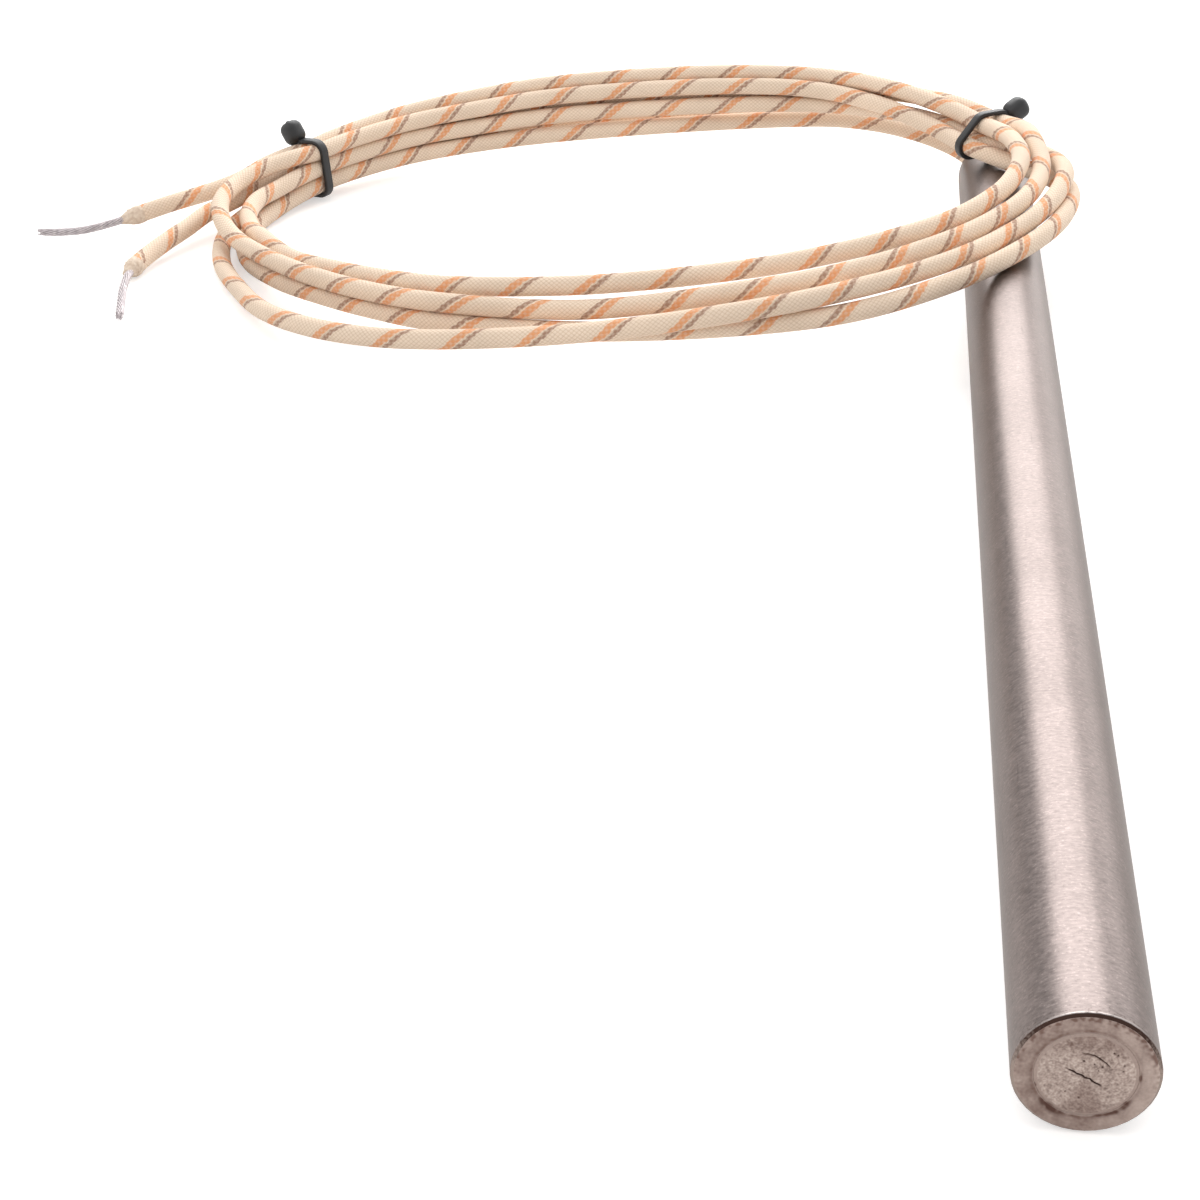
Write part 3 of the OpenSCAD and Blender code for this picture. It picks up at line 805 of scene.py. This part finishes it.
# %% Fibre finish
fibre, tree, shader = start_finish("glass_fibre_cut_ends", Roughness=0.9, Sheen_Weight=0.1)
spot = add(tree, "TexCoord").outputs["Object"]
mottle = add(tree, "TexNoise", inputs={"Vector": spot, "Scale": 1.5 * PER_MM, "Detail": 4.0})
tint = add(tree, "ValToRGB", inputs={0: mottle.outputs[0]})
colour_stops(tint, [(0.3, "#CDB59F"), (0.7, "#EEDDCA")])
rough = add(tree, "Bump", inputs={"Strength": 0.5, "Distance": 0.1 * MM, "Height": mottle.outputs[0]})
tree.links.new(tint.outputs[0], shader.inputs["Base Color"])
tree.links.new(rough.outputs[0], shader.inputs["Normal"])
for fray in frays.values():
    dress(fray, fibre)
print(fibre.name)

# %% [markdown]
# ### Black nylon
# Moulded nylon is nearly black, with the satin shine of a textured mould.

# %% Nylon finish
nylon, tree, shader = start_finish("moulded_black_nylon", IOR=1.53)
spot = add(tree, "TexCoord").outputs["Object"]
grain = add(tree, "TexNoise", inputs={"Vector": spot, "Scale": 4.0 * PER_MM, "Detail": 3.0})
tint = add(tree, "ValToRGB", inputs={0: grain.outputs[0]})
colour_stops(tint, [(0.3, "#0C0C0D"), (0.7, "#18181A")])
gloss = add(tree, "MapRange", inputs={0: grain.outputs[0], 1: 0.3, 2: 0.7, 3: 0.45, 4: 0.6})
pebble = add(tree, "Bump", inputs={"Strength": 0.25, "Distance": 0.05 * MM, "Height": grain.outputs[0]})
tree.links.new(tint.outputs[0], shader.inputs["Base Color"])
tree.links.new(gloss.outputs[0], shader.inputs["Roughness"])
tree.links.new(pebble.outputs[0], shader.inputs["Normal"])
for tie in ties.values():
    dress(tie, nylon)
print(nylon.name)

# %% [markdown]
# ### Ground stainless
# The tube was ground to size between wheels, so short fine ripples run round it and the light on it
# keeps to one broad band with soft edges. Real ripples are too fine to show, so these are drawn about
# a third of a millimetre wide. Handling left nicks and a few marks along the rod. The grey is a mid
# one, because every side of the rod mirrors a white room and a paler grey would lose its dark bands.

# %% Grind the steel
STEEL = "#7D7370"
GRAINS = [
    # stretch along X, Y and Z, grains a millimetre
    ((0.4, 1.0, 0.4), 3.0), ((0.8, 1.0, 0.8), 4.0), ((1.0, 0.05, 1.0), 2.0), ((1.0, 1.0, 1.0), 0.12)]
stainless, tree, shader = start_finish("ground_stainless_steel", Metallic=1.0,
                                       Specular_Tint=(0.7, 0.69, 0.68, 1))
spot = add(tree, "TexCoord").outputs["Object"]
grounds = []
for stretch, per_mm in GRAINS:
    squeeze = add(tree, "Mapping", inputs={0: spot, 3: stretch})
    ground = add(tree, "TexNoise",
                 inputs={"Vector": squeeze.outputs[0], "Scale": per_mm * PER_MM, "Detail": 4.0})
    grounds.append(ground.outputs[0])
ripples, nicks, drags, clouds = grounds
TONES = [
    # grain, its range, and the tone at both ends of it
    (ripples, 0.3, 0.7, 0.78, 1.22), (nicks, 0.58, 0.7, 1.0, 0.8), (nicks, 0.42, 0.3, 1.0, 1.35),
    (drags, 0.66, 0.76, 1.0, 0.82), (clouds, 0.3, 0.7, 0.93, 1.05)]
tone = 1.0
for grain, low, high, at_low, at_high in TONES:
    part = add(tree, "MapRange", inputs={0: grain, 1: low, 2: high, 3: at_low, 4: at_high})
    tone = add(tree, "Math", {"operation": "MULTIPLY"}, {0: tone, 1: part.outputs[0]}).outputs[0]
steel = add(tree, "Mix", {"data_type": "RGBA", "blend_type": "MULTIPLY"}, {0: 1.0, 6: linear(STEEL), 7: tone})
gloss = add(tree, "MapRange", inputs={0: ripples, 1: 0.3, 2: 0.7, 3: 0.32, 4: 0.42})
fine = add(tree, "Bump", inputs={"Strength": 0.6, "Distance": 0.02 * MM, "Height": ripples})
print(stainless.name, "with", len(GRAINS), "grains")

# %% [markdown]
# ### Rim of the sheath
# The rim of the closed end took the weld's heat: it is dull and brown, and a little soot lies behind
# it. Both are painted dark brown on top and paler down both sides, which is painted shade over the
# heat tint. A painted highlight, a thin glint, runs along the upper edge. Each of these is a band
# along the rod or up it, so one table gives where a band starts and where it is full.

# %% Burn the rim, and paint its shade and glint
# The dark colour is heat tint darkened as painted shade, and the pale one is a painted highlight along the
# upper edge
DARK_RIM, SIDE_RIM, GLINT = "#3F2F2A", "#95877F", "#C8C0BD"
RAGGED = 1.2 * MM
DULL_RIM = 0.6
where = add(tree, "SeparateXYZ", inputs={0: spot})
ragged = add(tree, "MapRange", inputs={0: nicks, 1: 0.3, 2: 0.7, 3: -RAGGED, 4: RAGGED})
height = add(tree, "Math", {"operation": "ADD"}, {0: where.outputs[2], 1: ragged.outputs[0]})
BANDS = {
    # what it is measured by, where it starts and is full in millimetres, its strength there
    # The first band paints the burnt rim darker towards the top, as painted shade; the second keeps the
    # painted glint to the top
    "on_top": (height.outputs[0], 6.5, 10.5, 1.0),
    "glint_top": (height.outputs[0], 10.0, 12.6, 1.0),
    "at_edge": (where.outputs[1], END_Y + 0.6, END_Y + 0.45, 0.5),
    "at_rim": (where.outputs[1], END_Y + 0.38, END_Y + 0.33, 1.0),
    "near_end": (where.outputs[1], END_Y + 1.8, END_Y + 0.4, 1.0),
}
bands = {}
for name, (measure, start, full, strength) in BANDS.items():
    band = add(tree, "MapRange", inputs={0: measure, 1: start * MM, 2: full * MM, 3: 0.0, 4: strength})
    bands[name] = band.outputs[0]
patchy = add(tree, "MapRange", inputs={0: nicks, 1: 0.55, 2: 0.7, 3: 0.0, 4: 0.7})
soot = add(tree, "Math", {"operation": "MULTIPLY"}, {0: bands["near_end"], 1: patchy.outputs[0]})
# This share sends the rim and the soot to the brown, whose dark top is painted shade
burnt = add(tree, "Math", {"operation": "MAXIMUM"}, {0: bands["at_rim"], 1: soot.outputs[0]})
# A painted highlight: a thin glint on the upper edge of the rim
glint_share = add(tree, "Math", {"operation": "MULTIPLY"}, {0: bands["at_edge"], 1: bands["glint_top"]})
glinted = add(tree, "Mix", {"data_type": "RGBA"}, {0: glint_share.outputs[0], 6: steel.outputs[2], 7: linear(GLINT)})
brown = add(tree, "Mix", {"data_type": "RGBA"},
            {0: bands["on_top"], 6: linear(SIDE_RIM), 7: linear(DARK_RIM)})
tinted = add(tree, "Mix", {"data_type": "RGBA"},
             {0: burnt.outputs[0], 6: glinted.outputs[2], 7: brown.outputs[2]})
dulled = add(tree, "Mix", inputs={0: bands["at_rim"], 2: gloss.outputs[0], 3: DULL_RIM})
tree.links.new(tinted.outputs[2], shader.inputs["Base Color"])
tree.links.new(dulled.outputs[0], shader.inputs["Roughness"])
tree.links.new(fine.outputs[0], shader.inputs["Normal"])
dress(solids["sheath"], stainless)
print("bands on the rim:", ", ".join(bands))

# %% [markdown]
# ### Welded end
# Steel that was melted and then scoured: warm grey and duller than the tube. It is painted dark in
# every hollow and a little paler on the crowns, as painted shade, and brown where the weld burnt it;
# that brown also carries the painted shade kept on the mesh with the stains.

# %% Closed end finish
welded, tree, shader = start_finish("welded_stainless_end", Metallic=1.0)
spot = add(tree, "TexCoord").outputs["Object"]
relief = add(tree, "Attribute", {"attribute_name": "relief"})
stain_and_shade = add(tree, "Attribute", {"attribute_name": "stain_and_shade"})
scour = add(tree, "TexNoise", inputs={"Vector": spot, "Scale": 4.0 * PER_MM, "Detail": 4.0})
height = add(tree, "MapRange", inputs={0: relief.outputs["Fac"], 1: -0.07, 2: 0.025, 3: 0.0, 4: 1.0})
# The colour follows the relief: painted shade, darkest in the deepest hollows
tint = add(tree, "ValToRGB", inputs={0: height.outputs[0]})
colour_stops(tint, [(0.0, "#3E302B"), (0.4, "#7E6E67"), (0.72, "#A4948C"), (1.0, "#BDAEA5")])
tone = add(tree, "MapRange", inputs={0: scour.outputs[0], 1: 0.3, 2: 0.7, 3: 0.92, 4: 1.06})
colour = add(tree, "Mix", {"data_type": "RGBA", "blend_type": "MULTIPLY"},
             {0: 1.0, 6: tint.outputs[0], 7: tone.outputs[0]})
# The share of brown comes from stains and from painted shade
brown_share = add(tree, "Math", {"operation": "MULTIPLY"}, {0: stain_and_shade.outputs["Fac"], 1: 0.8})
brown = add(tree, "Mix", {"data_type": "RGBA"},
            {0: brown_share.outputs[0], 6: colour.outputs[2], 7: linear("#5E443C")})
gloss = add(tree, "MapRange", inputs={0: height.outputs[0], 1: 0.0, 2: 1.0, 3: 0.75, 4: 0.5})
fine = add(tree, "Bump", inputs={"Strength": 0.25, "Distance": 0.02 * MM, "Height": scour.outputs[0]})
tree.links.new(brown.outputs[2], shader.inputs["Base Color"])
tree.links.new(gloss.outputs[0], shader.inputs["Roughness"])
tree.links.new(fine.outputs[0], shader.inputs["Normal"])
for piece in (disc, weld_ring):
    dress(piece, welded)
print(welded.name)

# %% [markdown]
# ### Inner pieces and bare wire
# The rest is plain stuff: fired magnesia, packed powder, cement, nickel and plated wire. Each is a
# tint between two colours and a bump, at the size of its own grain, so one loop makes them all.

# %% Plain finishes
PLAIN = [
    # name, darker and paler colour, grains a millimetre, roughness, bump, metal, pieces
    ("plated_copper_strand", "#ABA3A5", "#CAC3C4", 1.2, 0.7, 0.05, 1.0,
     [solids["conductor_a"], solids["conductor_b"], *bare_ends.values()]),
    ("fired_magnesia_ceramic", "#D8D2C4", "#F1ECE0", 2.5, 0.7, 0.2, 0.0,
     [solids[n] for n in ("end_spacer", "core_1", "core_2", "core_3", "core_4", "core_5", "core_6",
                          "crimp_insulator", "lead_bushing")]),
    ("packed_magnesia_powder", "#CFCBC2", "#EDEAE2", 4.0, 0.95, 0.5, 0.0, [solids["powder_fill"]]),
    ("cast_cement", "#B5A897", "#DDD2C2", 1.4, 0.92, 0.8, 0.0, [solids["end_seal"]]),
    ("drawn_nickel", "#A39D94", "#C9C3B9", 2.0, 0.35, 0.1, 1.0,
     [solids[n] for n in ("feed_pin", "return_pin", "crimp_a", "crimp_b")]),
    ("oxidised_heating_wire", "#4C4744", "#7C7672", 3.0, 0.5, 0.2, 1.0, [solids["winding"]]),
]
for name, dark, pale, per_mm, dull, depth, metal, members in PLAIN:
    material, tree, shader = start_finish(name, Metallic=metal)
    spot = add(tree, "TexCoord").outputs["Object"]
    grain = add(tree, "TexNoise", inputs={"Vector": spot, "Scale": per_mm * PER_MM, "Detail": 5.0})
    tint = add(tree, "ValToRGB", inputs={0: grain.outputs[0]})
    colour_stops(tint, [(0.3, dark), (0.7, pale)])
    gloss = add(tree, "MapRange", inputs={0: grain.outputs[0], 1: 0.3, 2: 0.7, 3: dull, 4: dull * 0.8})
    bump = add(tree, "Bump", inputs={"Strength": depth, "Distance": 0.1 * MM, "Height": grain.outputs[0]})
    tree.links.new(tint.outputs[0], shader.inputs["Base Color"])
    tree.links.new(gloss.outputs[0], shader.inputs["Roughness"])
    tree.links.new(bump.outputs[0], shader.inputs["Normal"])
    for piece in members:
        dress(piece, material)
    print(name, "on", len(members), "pieces")

# %% [markdown]
# ## Floor and light
# The photograph has a plain white ground. The floor is a pale diffuse sheet, and for the camera and
# for reflections a little glow is added to it, so it reads as white and still takes the shadow.
# Large soft lamps give the metal its bands: a bright one hung over the far side, for the long
# highlight, and a weak one to the right of it. One in front lights the end face. Weak ones overhead
# and at both sides give bands to anyone who walks round the heater.

# %% Lay the floor
FLOOR_HALF = 4.0
FLOOR_GLOW = 0.48


def seen_by_eye(tree):
    """1 for rays that the eye follows, straight or by a mirror or glass, and 0 for others."""
    rays = add(tree, "LightPath")
    seen = rays.outputs["Is Camera Ray"]
    for way in ("Is Glossy Ray", "Is Transmission Ray"):
        seen = add(tree, "Math", {"operation": "MAXIMUM"}, {0: seen, 1: rays.outputs[way]}).outputs[0]
    return seen


floor_shape = bmesh.new()
bmesh.ops.create_grid(floor_shape, x_segments=4, y_segments=4, size=FLOOR_HALF)
floor_mesh = bpy.data.meshes.new("floor")
floor_shape.to_mesh(floor_mesh)
floor_shape.free()
floor = bpy.data.objects.new("floor", floor_mesh)
bpy.context.scene.collection.objects.link(floor)
paper, tree, shader = start_finish("pale_paper_floor", Roughness=1.0, Specular_IOR_Level=0.0)
shader.inputs["Base Color"].default_value = linear("#E8E6E4")
glow_level = add(tree, "Math", {"operation": "MULTIPLY"}, {0: seen_by_eye(tree), 1: FLOOR_GLOW})
glow = add(tree, "Emission", inputs={"Color": (1, 1, 1, 1), "Strength": glow_level.outputs[0]})
sheet = add(tree, "AddShader", inputs={0: shader.outputs[0], 1: glow.outputs[0]})
tree.links.new(sheet.outputs[0], tree.nodes["Material Output"].inputs["Surface"])
floor_mesh.materials.append(paper)
print("floor side", 2 * FLOOR_HALF, "m")

# %% Set the light
ROOM_LIGHT = 0.58
WHITE_ROOM = 1.0
world = bpy.data.worlds.new("studio")
world.use_nodes = True
bpy.context.scene.world = world
tree = world.node_tree
level = add(tree, "MapRange", inputs={0: seen_by_eye(tree), 1: 0.0, 2: 1.0, 3: ROOM_LIGHT, 4: WHITE_ROOM})
backdrop = tree.nodes["Background"]
backdrop.inputs["Color"].default_value = (1, 1, 1, 1)
tree.links.new(level.outputs[0], backdrop.inputs["Strength"])

LAMPS = [
    # name, place, aimed at, width, height, power
    ("top_panel", (-0.10, 1.5, 0.54), (-0.07, 1.26, -0.46), 0.94, 2.0, 25.5),
    ("right_panel", (0.62, 1.1, 0.3), (0.0, 0.0, 0.0), 0.6, 0.6, 2.5),
    ("side_panel_right", (1.3, -0.1, 0.75), (0.0, 0.0, 0.0), 1.2, 0.7, 3.0),
    ("side_panel_left", (-1.3, -0.1, 0.75), (0.0, 0.0, 0.0), 1.2, 0.7, 2.2),
    ("overhead_panel", (0.0, -0.2, 1.5), (0.0, 0.0, 0.0), 1.0, 1.0, 2.2),
    ("front_panel", (-0.9, -0.9, 1.2), (-0.05, 0.0, 0.0), 1.2, 1.2, 4.8),
]
for name, place, target, wide, tall, power in LAMPS:
    lamp = bpy.data.lights.new(name, "AREA")
    lamp.shape = "RECTANGLE"
    lamp.size = wide
    lamp.size_y = tall
    lamp.energy = power
    holder = bpy.data.objects.new(name, lamp)
    holder.location = place
    holder.rotation_euler = (Vector(target) - Vector(place)).to_track_quat("-Z", "Y").to_euler()
    bpy.context.scene.collection.objects.link(holder)
    print("lamp", name, power, "W")
bpy.context.scene.view_settings.view_transform = "Standard"
